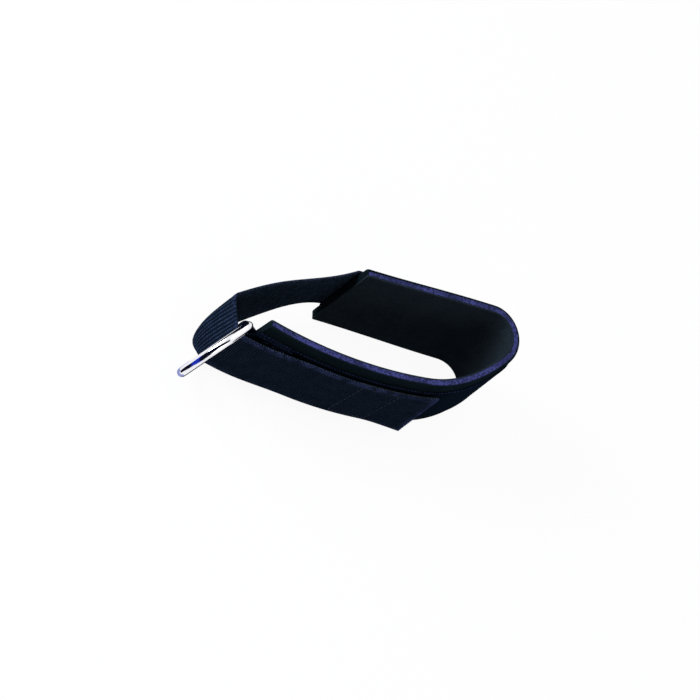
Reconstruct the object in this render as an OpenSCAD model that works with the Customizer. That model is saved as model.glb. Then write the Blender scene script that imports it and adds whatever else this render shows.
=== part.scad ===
// Padded wrist strap with a webbing closure through a steel D-ring.
// The strap stands on its lower edge, closed to a loop: +Z runs across its width,
// +X towards the folded round end of the cuff and +Y towards the far arm. Millimetres.

/* [Padded cuff] */
// Width of the cuff, lower edge to upper edge
pad_w = 27.5; // [24:0.5:36]
// Thickness of the lining against the skin
lining_t = 0.35; // [0.25:0.05:0.8]
// Thickness of the foam core
foam_t = 1.7; // [1.2:0.1:3]
// Thickness of the outer cover
cover_t = 0.35; // [0.25:0.05:0.8]

/* [Cuff outline] */
// Direction of the cuff at its front end, degrees from +X
front_heading = -24; // [-28:1:-20]
// Length of the long front run
front_run = 46; // [42:0.5:50]
// How far the front run curves, degrees
front_turn = 21.5; // [17:0.5:26]
// Length of the belly of the near arm
belly_run = 27.5; // [24:0.5:31]
// How far the belly curves, degrees
belly_turn = 37; // [32:0.5:42]
// Length of the tight round end
round_run = 14.5; // [13:0.5:18]
// How far the round end curves, degrees
round_turn = 136.5; // [130:0.5:142]
// Length of the far arm
far_run = 39.5; // [36:0.5:43]
// How far the far arm curves, degrees
far_turn = 0.5; // [0:0.5:4]

/* [Cuff lean] */
// Outward lean of the wall where the round end begins, mm per mm of height
round_lean = -0.11; // [-0.15:0.01:0]
// Outward lean where the far arm begins
far_lean = 0.12; // [0.04:0.01:0.15]
// Outward lean at the cuff's back end
back_lean = 0.06; // [0:0.01:0.1]

/* [Webbing] */
// Width of all the webbing
strap_w = 20; // [16:0.5:22]
// Thickness of the base band sewn along the cuff
band_t = 0.5; // [0.4:0.05:0.9]
// Thickness of the strap and its tail
strap_t = 0.7; // [0.5:0.05:1.1]
// Overlap of the strap on the base band at the cuff's back end
strap_lap = 14; // [8:0.5:18]
// Length of the sharp crease's radius, on the strap's inner face
crease_r = 1.5; // [1.2:0.1:2.5]
// Straight run from crease to D-ring along the upper edge
near_run_top = 7; // [6:0.5:9]
// Straight run from crease to D-ring along the lower edge
near_run_bottom = 2.7; // [2.2:0.1:5]
// Direction of that run along the upper edge, degrees from +X
near_heading_top = -90; // [-96:1:-80]
// Direction of that run along the lower edge, degrees from +X
near_heading_bottom = -62; // [-70:1:-56]
// Direction of the far strap where it meets the crease, upper edge
far_heading_top = -161; // [-165:1:-156]
// Direction of the far strap where it meets the crease, lower edge
far_heading_bottom = -155; // [-160:1:-150]
// Direction in which the strap leaves the cuff's back end, upper edge
leave_heading_top = -164; // [-169:1:-159]
// Direction in which the strap leaves the cuff's back end, lower edge
leave_heading_bottom = -180; // [-184:1:-172]
// How long the strap keeps that direction
leave_reach = 10; // [6:0.5:13]
// How long the strap runs straight before the crease
arrive_reach = 15; // [10:0.5:18]
// Ripple of the free strap's upper edge
far_ripple = 0.4; // [0:0.1:0.8]

/* [D-ring] */
// Diameter of the ring's wire
wire_d = 2.4; // [2:0.1:3]
// Play between the webbing's edges and the ring, each side
ring_play = 0.8; // [0.6:0.1:1.4]
// Depth of the ring, from its bar's axis to the outside of its bow
ring_depth = 15; // [14:0.5:18]
// Bend radius at the bar's ends, on the wire's centreline
corner_r = 1.8; // [1.6:0.1:2]
// Direction that the bow points in at rest, degrees from +X
bow_heading = 216; // [206:1:226]
// Distance from the cuff's front end to the ring's bar
bar_ahead = 4.2; // [3.6:0.1:6]

/* [Ring tab] */
// Thickness of the tab's webbing, which is folded double
tab_t = 0.5; // [0.35:0.05:0.7]
// Length of the tab's overlap on the base band
tab_lap = 9; // [6:0.5:10]

/* [Closure tail] */
// Where the tail ends, measured along the cuff from its front end
tail_end = 51; // [44:0.5:56]
// Where the tail starts to swing, just past the ring's bar
tail_start = -1.2; // [-2:0.1:-0.8]
// Where the tail settles onto the loop patch
settle_end = 18; // [15:0.5:22]
// How far the tail's lower corner stands off the cuff
tail_kick = 2; // [0:0.1:3]
// Length over which that corner lifts
kick_run = 12; // [8:0.5:16]
// Length of the hook patch under the tail's end
hook_len = 22; // [16:0.5:24]
// Thickness of the hook patch
hook_t = 0.35; // [0.25:0.05:0.6]
// Thickness of the loop patch
loop_t = 0.3; // [0.25:0.05:0.6]
// Where the loop patch starts, measured along the cuff
loop_start = 12; // [11:0.5:18]
// Length of the loop patch
loop_len = 44; // [38:0.5:50]

/* [Seams] */
// Width of a row of stitches
seam_w = 0.5; // [0.4:0.1:0.8]
// Height of the thread above the cloth
thread_t = 0.25; // [0.15:0.05:0.3]
// Distance of a seam from the edges that it runs along
seam_inset = 1; // [0.8:0.1:1.5]
// Length of the seam that holds the hook patch
hook_seam_len = 10.6; // [8:0.2:14]

/* [Snap stud] */
// Distance of the stud from the cuff's back end
stud_back = 25; // [22:0.5:27]
// Diameter of the stud's head
head_d = 4; // [3.6:0.1:4.4]
// Height of the stud's head
head_h = 1.5; // [1.2:0.1:2]
// Diameter of the stud's neck
neck_d = 3.5; // [3.2:0.1:3.6]
// Height of the stud's neck
neck_h = 0.9; // [0.6:0.1:1.5]
// Diameter of the stud's flange
flange_d = 10; // [8:0.5:11]
// Thickness of the stud's flange
flange_t = 0.5; // [0.4:0.1:0.8]
// Diameter of the raised boss on the flange
boss_d = 6.4; // [5:0.2:7]
// Height of the boss
boss_h = 0.5; // [0.3:0.1:0.8]
// Diameter of the rivet's post
post_d = 2.2; // [1.8:0.1:2.4]
// Length of the post inside the stud
post_grip = 1; // [0.6:0.1:1.2]
// Diameter of the rivet's washer
washer_d = 8; // [7:0.5:9]
// Thickness of the rivet's washer
washer_t = 0.4; // [0.3:0.05:0.6]

/* [Clearances] */
// Gap between hook patch and loop patch
hook_gap = 0.3; // [0.3:0.05:0.4]
// Gap between the ring's bar and the tab's eye, on the radius
eye_gap = 0.15; // [0.1:0.05:0.3]
// Gap between the tab's eye and the strap that bends round it
wrap_gap = 0.3; // [0.2:0.05:0.6]
// Gap at the line where the tail starts to swing
swing_gap = 0.3; // [0.2:0.05:0.5]
// Gap between thread and cloth
seat_gap = 0.03; // [0.02:0.01:0.05]
// Gap round the rivet and under the stud's flange
rivet_gap = 0.08; // [0.05:0.01:0.1]

/* [Hidden] */

// Place of the cuff's front end, chosen so that the strap's middle is at the origin
cuff_start = [-29.405, -0.612];

// Largest step along a curve, in mm and in degrees
step_len = 5;
step_turn = 9;

// Layers of the cuff and what lies on it, as distances from the skin side
foam_n = lining_t;
cover_n = foam_n + foam_t;
pad_t = cover_n + cover_t;
band_n = pad_t + band_t;
loop_n = band_n + loop_t;
tail_n = loop_n + hook_gap + hook_t;

// Heights of the webbing's edges, and the levels that all the layers share
web_z0 = (pad_w - strap_w) / 2;
web_z1 = web_z0 + strap_w;
mid_z = pad_w / 2;
pad_levels = [0, web_z0, web_z1, pad_w];
web_levels = [web_z0, web_z1];

// Legs of the cuff's path: length, turn, and lean at the leg's end
LEGS = [[front_run, front_turn, 0],
        [belly_run, belly_turn, round_lean],
        [round_run, round_turn, far_lean],
        [far_run, far_turn, back_lean]];

function along(h) = [cos(h), sin(h)];
function outward(h) = [sin(h), -cos(h)];
function mix(a, b, f) = a + (b - a) * f;
// Even start and end of a change that runs from 0 to 1
function ease(f) = (1 - cos(180 * f)) / 2;

// Point at the end of a run that starts at p in direction h and curves by turn
function run_end(p, h, len, turn) =
    turn == 0 ? p + len * along(h)
              : let (r = len / (turn * PI / 180)) p + r * (outward(h + turn) - outward(h));

function leg_s(i) = i == 0 ? 0 : leg_s(i - 1) + LEGS[i - 1][0];
function leg_heading(i) = i == 0 ? front_heading : leg_heading(i - 1) + LEGS[i - 1][1];
function leg_point(i) =
    i == 0 ? cuff_start
           : run_end(leg_point(i - 1), leg_heading(i - 1), LEGS[i - 1][0], LEGS[i - 1][1]);
function leg_lean(i) = i == 0 ? 0 : LEGS[i - 1][2];
function leg_steps(i) = max(ceil(LEGS[i][0] / step_len), ceil(LEGS[i][1] / step_turn));

cuff_len = leg_s(len(LEGS));

// A station is [distance, lower point, upper point, lower normal, upper normal]:
// the points lie on the skin side at the heights of the webbing's two edges.
function station(s, p, h, lean) =
    [s, p + outward(h) * (web_z0 - mid_z) * lean, p + outward(h) * (web_z1 - mid_z) * lean,
     outward(h), outward(h)];

// Stations along the whole cuff, with one straight station ahead of its front end
ahead = 12;
cuff_stations = concat(
    [station(-ahead, cuff_start - ahead * along(front_heading), front_heading, 0)],
    [for (i = [0 : len(LEGS) - 1], k = [0 : leg_steps(i) - 1])
        let (f = k / leg_steps(i), len = LEGS[i][0] * f, turn = LEGS[i][1] * f)
        station(leg_s(i) + len, run_end(leg_point(i), leg_heading(i), len, turn),
                leg_heading(i) + turn, mix(leg_lean(i), LEGS[i][2], ease(f)))],
    [station(cuff_len, leg_point(len(LEGS)), leg_heading(len(LEGS)), back_lean)]);

// Station at distance s, on the chord between its two neighbours
function cuff_at(s) =
    let (i = max([for (k = [0 : len(cuff_stations) - 2]) if (cuff_stations[k][0] <= s) k]),
         a = cuff_stations[i], b = cuff_stations[i + 1])
    mix(a, b, (s - a[0]) / (b[0] - a[0]));

// All stations from s0 to s1
function span(s0, s1) =
    concat([cuff_at(s0)], [for (c = cuff_stations) if (c[0] > s0 && c[0] < s1) c], [cuff_at(s1)]);

// A station moved outwards, by one amount at the lower edge and another at the upper
function lifted(c, low, high) = [c[0], c[1] + c[3] * low, c[2] + c[4] * high, c[3], c[4]];

// Point of a station at distance n outwards and height z
function spot(c, n, z) =
    let (f = (z - web_z0) / strap_w, p = mix(c[1], c[2], f) + mix(c[3], c[4], f) * n)
    [p[0], p[1], z];

// A layer of cloth between distances n0 and n1, carried along a list of stations.
// Every layer splits its faces the same way, so layers that touch share their faces.
module layer(stations, n0, n1, levels) {
    m = len(levels);
    ring = 2 * m;
    points = [for (c = stations) each concat([for (z = levels) spot(c, n0, z)],
                                             [for (z = levels) spot(c, n1, z)])];
    last = (len(stations) - 1) * ring;
    faces = concat(
        [for (i = [0 : len(stations) - 2], j = [0 : m - 2])
            let (a = i * ring + j, b = a + ring)
            each [[a, b + 1, a + 1], [a, b, b + 1],
                  [a + m, a + m + 1, b + m + 1], [a + m, b + m + 1, b + m]]],
        [for (i = [0 : len(stations) - 2])
            let (a = i * ring, b = a + ring)
            each [[a, a + m, b + m], [a, b + m, b],
                  [a + m - 1, b + m - 1, b + ring - 1], [a + m - 1, b + ring - 1, a + ring - 1]]],
        [for (j = [0 : m - 2])
            each [[j, j + 1, j + m + 1], [j, j + m + 1, j + m],
                  [last + j, last + j + m, last + j + m + 1],
                  [last + j, last + j + m + 1, last + j + 1]]]);
    polyhedron(points, faces);
}

// The ring's bar lies in the eye of the folded tab, on the base band's outer side
tab_n = band_n + tab_t;
bar_pos = cuff_start - bar_ahead * along(front_heading) + tab_n * outward(front_heading);
wire_r = wire_d / 2;
eye_r = wire_r + eye_gap;
eye_out_r = eye_r + tab_t;
wrap_r = eye_out_r + wrap_gap;

// Distance of the tail's inner face from the skin side: it comes off the ring and settles
function tail_lift(s) =
    s >= settle_end ? tail_n
                    : mix(tab_n + wrap_r, tail_n,
                          ease((s + bar_ahead) / (settle_end + bar_ahead)));

// Extra lift of the tail's lower edge towards its end
function kick(s) = tail_kick * pow(max(0, (s - tail_end + kick_run) / kick_run), 2);

function tail_stations(s0, s1) =
    [for (c = span(s0, s1)) lifted(c, tail_lift(c[0]) + kick(c[0]), tail_lift(c[0]))];

// One edge of the free strap: Bezier off the cuff, crease, straight run, wrap round the eye
bezier_steps = 12;
crease_steps = 8;
wrap_steps = 8;
function bezier(a, b, c, d, f) =
    a * pow(1 - f, 3) + 3 * b * f * pow(1 - f, 2) + 3 * c * f * f * (1 - f) + d * pow(f, 3);
function bezier_way(a, b, c, d, f) =
    (b - a) * pow(1 - f, 2) + 2 * (c - b) * f * (1 - f) + (d - c) * f * f;
function edge_points(start, leave_h, far_h, near_h, near_run, ripple) =
    let (end = bar_pos + wrap_r * outward(near_h) - near_run * along(near_h),
         centre = end - crease_r * outward(near_h),
         fold = centre + crease_r * outward(far_h),
         b = start + leave_reach * along(leave_h), c = fold - arrive_reach * along(far_h))
    concat(
        [for (k = [0 : bezier_steps - 1])
            let (f = k / bezier_steps, w = bezier_way(start, b, c, fold, f))
            [bezier(start, b, c, fold, f) - ripple * sin(360 * f) * outward(far_h),
             outward(atan2(w[1], w[0]))]],
        [for (k = [0 : crease_steps])
            let (h = mix(far_h, near_h, k / crease_steps)) [centre + crease_r * outward(h), outward(h)]],
        [for (k = [0 : wrap_steps])
            let (h = mix(near_h, front_heading, k / wrap_steps))
            [bar_pos + wrap_r * outward(h), outward(h)]]);

strap_stations =
    let (end = lifted(cuff_at(cuff_len), band_n, band_n),
         low = edge_points(end[1], leave_heading_bottom, far_heading_bottom,
                           near_heading_bottom, near_run_bottom, 0),
         high = edge_points(end[2], leave_heading_top, far_heading_top,
                            near_heading_top, near_run_top, far_ripple))
    concat(
        [for (c = span(cuff_len - strap_lap, cuff_len)) if (c[0] < cuff_len) lifted(c, band_n, band_n)],
        [for (k = [0 : len(low) - 1]) [0, low[k][0], high[k][0], low[k][1], high[k][1]]],
        [for (c = tail_stations(-bar_ahead, tail_start - swing_gap)) if (c[0] > -bar_ahead) c]);

// A frame of stitches laid on cloth, from the stations of its outline and of its inside
module seam(outline, inside, n) {
    low = web_z0 + seam_inset;
    high = web_z1 - seam_inset;
    difference() {
        layer(outline, n + seat_gap, n + seat_gap + thread_t, [low, high]);
        layer(inside, n - 1, n + 1, [low + seam_w, high - seam_w]);
    }
}

// The stud's seat on the base band's outer face
stud_station = cuff_at(cuff_len - stud_back);
stud_pos = spot(stud_station, band_n, mid_z);
stud_heading = atan2(stud_station[3][1], stud_station[3][0]);
stud_tilt = 90 + atan(norm(stud_station[2] - stud_station[1]) / strap_w);
cloth_t = band_t + cover_t;

module at_stud() {
    translate(stud_pos)
        rotate([0, stud_tilt, stud_heading])
            children();
}

module at_bar() {
    translate([bar_pos[0], bar_pos[1], mid_z])
        rotate([0, 0, bow_heading])
            children();
}

// Hole for the rivet's post through the cloth
module rivet_hole() {
    at_stud()
        cylinder(h = 2 * cloth_t + 2, d = post_d + 2 * rivet_gap, center = true, $fn = 48);
}

module lining() {
    color("#1b1f2a")
        layer(span(0, cuff_len), 0, foam_n, pad_levels);
}

module foam_core() {
    color("#4f4f9e")
        difference() {
            layer(span(0, cuff_len), foam_n, cover_n, pad_levels);
            at_stud()
                translate([0, 0, -cloth_t - washer_t - 2 * rivet_gap])
                    cylinder(h = washer_t + 1, d = washer_d + 4 * rivet_gap, $fn = 64);
        }
}

module outer_cover() {
    color("#161a24")
        difference() {
            layer(span(0, cuff_len), cover_n, pad_t, pad_levels);
            rivet_hole();
        }
}

module base_band() {
    color("#1d2233")
        difference() {
            layer(span(0, cuff_len), pad_t, band_n, web_levels);
            rivet_hole();
        }
}

module loop_patch() {
    color("#1a1e29")
        layer(span(loop_start, loop_start + loop_len), band_n, loop_n, web_levels);
}

// Short webbing folded round the ring's bar and sewn down on the base band
module ring_tab() {
    color("#20263a")
        difference() {
            union() {
                layer(span(-bar_ahead, tab_lap), band_n, band_n + 2 * tab_t, web_levels);
                translate([bar_pos[0], bar_pos[1], web_z0])
                    cylinder(h = strap_w, r = eye_out_r, $fn = 64);
            }
            translate([bar_pos[0], bar_pos[1], web_z0 - 1])
                cylinder(h = strap_w + 2, r = eye_r, $fn = 64);
        }
}

module tab_seam() {
    s0 = seam_inset;
    s1 = tab_lap - seam_inset;
    color("#5a5f78")
        seam(span(s0, s1), span(s0 + seam_w, s1 - seam_w), band_n + 2 * tab_t);
}

// Wire bent to a D: straight bar, two tight corners and a round bow
half_span = strap_w / 2 + ring_play + wire_r;
bow_x = ring_depth - wire_r - half_span;
module wire_bend(r, from, turn) {
    rotate([90, 0, 0])
        rotate([0, 0, from])
            rotate_extrude(angle = turn, $fn = 96)
                translate([r, 0])
                    circle(r = wire_r, $fn = 48);
}

module d_ring() {
    bar_half = half_span - corner_r;
    color("#c9ccd6")
        at_bar() {
            cylinder(h = 2 * bar_half, r = wire_r, center = true, $fn = 48);
            translate([corner_r, 0, bar_half])
                wire_bend(corner_r, 90, 90);
            translate([corner_r, 0, -bar_half])
                wire_bend(corner_r, 180, 90);
            for (z = [-half_span, half_span])
                translate([corner_r, 0, z])
                    rotate([0, 90, 0])
                        cylinder(h = bow_x - corner_r, r = wire_r, $fn = 48);
            translate([bow_x, 0, 0])
                wire_bend(half_span, -90, 180);
        }
}

module elastic_strap() {
    color("#232a40")
        layer(strap_stations, 0, strap_t, web_levels);
}

// Seam that joins the strap to the base band
module join_seam() {
    s0 = cuff_len - strap_lap + seam_inset;
    s1 = cuff_len - seam_inset;
    color("#5a5f78")
        seam(span(s0, s1), span(s0 + seam_w, s1 - seam_w), band_n + strap_t);
}

module closure_tail() {
    color("#232a40")
        layer(tail_stations(tail_start, tail_end), 0, strap_t, web_levels);
}

module hook_patch() {
    color("#14171f")
        layer(tail_stations(tail_end - hook_len, tail_end), -hook_t, 0, web_levels);
}

// Seam across the tail at the hook patch's inner end
module hook_seam() {
    s0 = tail_end - hook_len + seam_inset;
    s1 = s0 + hook_seam_len;
    color("#5a5f78")
        seam(tail_stations(s0, s1), tail_stations(s0 + seam_w, s1 - seam_w), strap_t);
}

// Stud that the ground lead's socket snaps onto
module snap_stud() {
    base = rivet_gap;
    chamfer = head_h / 5;
    color("#b9bcc4")
        at_stud()
            difference() {
                rotate_extrude($fn = 64)
                    polygon([[0, base], [flange_d / 2, base], [flange_d / 2, base + flange_t],
                             [boss_d / 2, base + flange_t], [boss_d / 2, base + flange_t + boss_h],
                             [neck_d / 2, base + flange_t + boss_h],
                             [neck_d / 2, base + flange_t + boss_h + neck_h],
                             [head_d / 2, base + flange_t + boss_h + neck_h],
                             [head_d / 2, base + flange_t + boss_h + neck_h + head_h - chamfer],
                             [head_d / 2 - chamfer, base + flange_t + boss_h + neck_h + head_h],
                             [0, base + flange_t + boss_h + neck_h + head_h]]);
                cylinder(h = 2 * (post_grip + 2 * rivet_gap), d = post_d + 2 * rivet_gap,
                         center = true, $fn = 48);
            }
}

// Washer under the cover, with the post that the stud is clenched onto
module stud_rivet() {
    color("#a8abb3")
        at_stud()
            translate([0, 0, -cloth_t - rivet_gap]) {
                translate([0, 0, -washer_t])
                    cylinder(h = washer_t, d = washer_d, $fn = 64);
                translate([0, 0, -washer_t])
                    cylinder(h = washer_t + cloth_t + rivet_gap + post_grip, d = post_d, $fn = 48);
            }
}

lining();
foam_core();
outer_cover();
base_band();
loop_patch();
ring_tab();
tab_seam();
d_ring();
elastic_strap();
join_seam();
closure_tail();
hook_patch();
hook_seam();
snap_stud();
stud_rivet();
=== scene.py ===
import bpy
import numpy as np
from mathutils import Matrix, Vector


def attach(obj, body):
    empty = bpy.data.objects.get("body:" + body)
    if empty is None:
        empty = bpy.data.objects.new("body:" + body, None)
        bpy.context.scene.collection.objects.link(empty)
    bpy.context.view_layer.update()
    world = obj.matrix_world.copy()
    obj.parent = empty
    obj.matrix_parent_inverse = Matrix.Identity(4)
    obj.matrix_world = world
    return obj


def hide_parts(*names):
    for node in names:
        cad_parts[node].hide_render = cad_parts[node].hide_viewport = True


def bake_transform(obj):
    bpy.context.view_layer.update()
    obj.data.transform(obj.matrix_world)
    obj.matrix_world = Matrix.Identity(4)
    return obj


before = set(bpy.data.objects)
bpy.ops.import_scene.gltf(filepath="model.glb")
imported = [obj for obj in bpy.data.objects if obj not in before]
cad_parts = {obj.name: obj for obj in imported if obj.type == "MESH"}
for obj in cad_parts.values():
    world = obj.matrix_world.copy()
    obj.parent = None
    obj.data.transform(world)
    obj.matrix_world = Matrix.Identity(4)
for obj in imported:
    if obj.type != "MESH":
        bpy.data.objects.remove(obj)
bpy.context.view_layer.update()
mm = 0.001


def unit(v):
    # directions brought to length 1
    return v / np.linalg.norm(v, axis=-1, keepdims=True)


def addObject(name, data):
    item = bpy.data.objects.new(name, data)
    bpy.context.scene.collection.objects.link(item)
    return item


cameraSpec = {
    "target": (10.725, 5.282, 0.0),  # mm, the point on the table that the lens is centred on
    "azimuth": 211.866,
    "elevation": 51.5,
    "roll": 58.472,
    "distance": 545.0,
    "lens": 106.25,
    "sensor": 36,
    "clip": (0.01, 20),
}


def makeCamera(spec):
    # the lens looks at the target from a direction given by two angles, then rolls about its own axis
    side, rise, roll = np.radians([spec["azimuth"], spec["elevation"], spec["roll"]])
    back = np.array([np.cos(rise) * np.cos(side), np.cos(rise) * np.sin(side), np.sin(rise)])
    right = unit(np.cross(-back, [0, 0, 1]))
    up = np.cross(right, -back)
    sideways = np.cos(roll) * right + np.sin(roll) * up
    upward = -np.sin(roll) * right + np.cos(roll) * up
    place = (np.array(spec["target"]) + back * spec["distance"]) * mm
    data = bpy.data.cameras.new("camera")
    data.sensor_width = spec["sensor"]
    data.lens = spec["lens"]
    data.clip_start, data.clip_end = spec["clip"]
    camera = addObject("camera", data)
    turn = np.stack([sideways, upward, back], axis=1)
    camera.matrix_world = Matrix.Translation(place.tolist()) @ Matrix(turn.tolist()).to_4x4()
    bpy.context.scene.camera = camera


makeCamera(cameraSpec)
bpy.context.scene.view_settings.view_transform = "Standard"


class Nodes:
    # a short hand for wiring one material's or world's nodes

    def __init__(self, tree):
        self.tree = tree
        tree.nodes.clear()

    def add(self, kind, inputs=(), **settings):
        node = self.tree.nodes.new(kind)
        for key, value in settings.items():
            setattr(node, key, value)
        for key, value in dict(inputs).items():
            self.feed(node.inputs[key], value)
        return node

    def feed(self, socket, value):
        if isinstance(value, bpy.types.NodeSocket):
            self.tree.links.new(value, socket)
        elif isinstance(value, (tuple, list)) and len(value) == 3 and socket.type == "RGBA":
            socket.default_value = (*value, 1.0)
        else:
            socket.default_value = value

    def maths(self, operation, a, b=0.0, clamp=False):
        return self.add("ShaderNodeMath", {0: a, 1: b}, operation=operation, use_clamp=clamp).outputs[0]

    def plus(self, a, b):
        return self.maths("ADD", a, b)

    def times(self, product, *others, clamp=False):
        # all the values multiplied; clamp keeps the last product between 0 and 1
        for index, other in enumerate(others, 1):
            product = self.maths("MULTIPLY", product, other, clamp and index == len(others))
        return product

    def ridges(self, value):
        # |sin(pi x)|: one rounded ridge for each whole step
        return self.maths("ABSOLUTE", self.maths("SINE", self.times(value, np.pi)))

    def mix(self, factor, a, b):
        return self.add("ShaderNodeMix", {0: factor, 6: a, 7: b}, data_type="RGBA").outputs[2]

    def span(self, value, low, high, fromLow=0.0, fromHigh=1.0, smooth=True):
        # the value carried from one range to another, evenly or with soft ends
        inputs = dict(enumerate((value, fromLow, fromHigh, low, high)))
        kind = "SMOOTHSTEP" if smooth else "LINEAR"
        return self.add("ShaderNodeMapRange", inputs, interpolation_type=kind).outputs[0]

    def noise(self, vector, scale, detail=3.0, roughness=0.5):
        inputs = {"Vector": vector, "Scale": scale, "Detail": detail, "Roughness": roughness}
        return self.add("ShaderNodeTexNoise", inputs).outputs[0]

    def place(self):
        return self.add("ShaderNodeTexCoord").outputs["Object"]

    def clothPlace(self):
        # mm along the cloth and across it, from the piece's own UV map
        uv = self.add("ShaderNodeUVMap", uv_map="UVMap")
        split = self.add("ShaderNodeSeparateXYZ", {0: uv.outputs[0]})
        return split.outputs[0], split.outputs[1]

    def attribute(self, name):
        return self.add("ShaderNodeAttribute", attribute_name=name).outputs["Fac"]

    def glow(self, colour):
        return self.add("ShaderNodeEmission", {"Color": colour, "Strength": 1.0}).outputs[0]

    def seen(self):
        # 1 for what the lens or the metal sees, 0 for the light that falls on the strap
        path = self.add("ShaderNodeLightPath")
        return self.maths("MAXIMUM", path.outputs["Is Camera Ray"], path.outputs["Is Glossy Ray"])

    def surface(self, shader, kind="Material"):
        self.add("ShaderNodeOutput" + kind, {"Surface": shader})


def startMaterial(name):
    material = bpy.data.materials.new(name)
    material.use_nodes = True
    return material, Nodes(material.node_tree)


studio = {
    "tableReach": 3.0,  # m
    "tableDrop": 0.0001,  # m, so that the table and the strap's lower edge don't share a plane
    "tableShare": 0.93,  # share of plain white where the table is seen; the rest takes the shadow
    "paper": (0.82, 0.82, 0.82),
    "white": (1.0, 1.0, 1.0),
    "soft": (0.95, 0.97, 1.0),
    "softPower": 0.42,
    "aim": (0, 0, 0.012),
}
# place and size in metres, power in watts
lamps = {
    "top": {"place": (0.10, 0.05, 0.75), "size": (0.6, 0.6), "power": 2.4, "colour": "white"},
    "left": {"place": (-0.546, 0.255, 0.243), "size": (0.3, 0.3), "power": 5.0, "colour": "soft"},
    "front": {"place": (-0.05, -0.6, 0.35), "size": (0.4, 0.3), "power": 0.6, "colour": "white"},
}


def makeFloor():
    # a plain white table: it keeps a light shadow, and shows as white to the lens and in the metal
    mesh = bpy.data.meshes.new("tableTop")
    reach, level = studio["tableReach"], -studio["tableDrop"]
    corners = [(x * reach, y * reach, level) for x, y in ((-1, -1), (1, -1), (1, 1), (-1, 1))]
    mesh.from_pydata(corners, [], [(0, 1, 2, 3)])
    floor = addObject("tableTop", mesh)
    material, nodes = startMaterial("whiteTable")
    paper = nodes.add("ShaderNodeBsdfDiffuse", {"Color": studio["paper"]})
    share = nodes.times(nodes.seen(), studio["tableShare"])
    glow = nodes.glow(studio["white"])
    nodes.surface(nodes.add("ShaderNodeMixShader", {0: share, 1: paper.outputs[0], 2: glow}).outputs[0])
    mesh.materials.append(material)


def makeWorld():
    # dim soft light from all round, which the lens and the metal see as white
    world = bpy.data.worlds.new("studio")
    bpy.context.scene.world = world
    world.use_nodes = True
    nodes = Nodes(world.node_tree)
    soft = nodes.add("ShaderNodeBackground", {"Color": studio["soft"], "Strength": studio["softPower"]})
    white = nodes.add("ShaderNodeBackground", {"Color": studio["white"], "Strength": 1.0})
    inputs = {0: nodes.seen(), 1: soft.outputs[0], 2: white.outputs[0]}
    nodes.surface(nodes.add("ShaderNodeMixShader", inputs).outputs[0], "World")


def makeLamp(name, spec):
    # a soft rectangle of light turned towards the strap's middle
    data = bpy.data.lights.new(name, "AREA")
    data.shape = "RECTANGLE"
    data.size, data.size_y = spec["size"]
    data.energy = spec["power"]
    data.color = studio[spec["colour"]]
    lamp = addObject(name, data)
    lamp.location = spec["place"]
    lamp.rotation_mode = "QUATERNION"
    way = Vector(studio["aim"]) - Vector(spec["place"])
    lamp.rotation_quaternion = way.to_track_quat("-Z", "Y")


makeWorld()
makeFloor()
for lampName, lampSpec in lamps.items():
    makeLamp(lampName, lampSpec)


# the painted-reflection cards' corners in mm: how far ahead of the ring's bar, how far to its left, and
# how high
cards = {
    "ahead": 216.0,  # degrees, the side that the ring's bow points to
    "foot": (-34.6, -2.0),  # mm, under the ring's bar
    "black": (0.004, 0.005, 0.014),
    "deep": (0.014, 0.036, 0.480),
    "pale": (0.30, 0.34, 0.62),
    "tip": [(3, -5, 0.06), (15, -5, 0.06), (15, 5, 0.06), (3, 5, 0.06)],
    "core": [(15.5, -4, 0.05), (16.5, 0, 0.05), (21, 0.3, 0.05), (45, 11, 0.05), (190, 150, 0.05),
             (560, 450, 0.05), (560, -830, 0.05), (72, -80, 0.05), (32, -20.5, 0.05), (20, -10, 0.05)],
    "wall": [(560, -830, 0), (560, 450, 0), (560, 350, 640), (560, -400, 640), (560, -830, 300)],
    "roof": [(560, -330, 640), (560, 330, 640), (380, 480, 640), (180, 520, 640), (180, 100, 640),
             (350, -100, 640)],
    "edge": [(8.5, 0.3, 0.07), (10, 4, 0.07), (11.8, 11, 0.07), (12, 20, 0.07), (10.5, 40, 0.07),
             (-12, 40, 0.07), (-12, 0.3, 0.07)],
    "sideWall": [(80, -560, 0), (80, -560, 90), (-50, -560, 165), (-80, -560, 480), (-400, -560, 850),
                 (-1200, -560, 850), (-1200, -560, 0)],
    "sideTable": [(8, -55, 0.05), (80, -560, 0.05), (-1100, -560, 0.05), (-90, -55, 0.05)],
    "backTable": [(-15, 45, 0.05), (-130, 560, 0.05), (-700, 560, 0.05), (-120, 45, 0.05)],
    "backWall": [(-130, 560, 0), (-130, 560, 130), (-700, 560, 130), (-700, 560, 0)],
}


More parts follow.
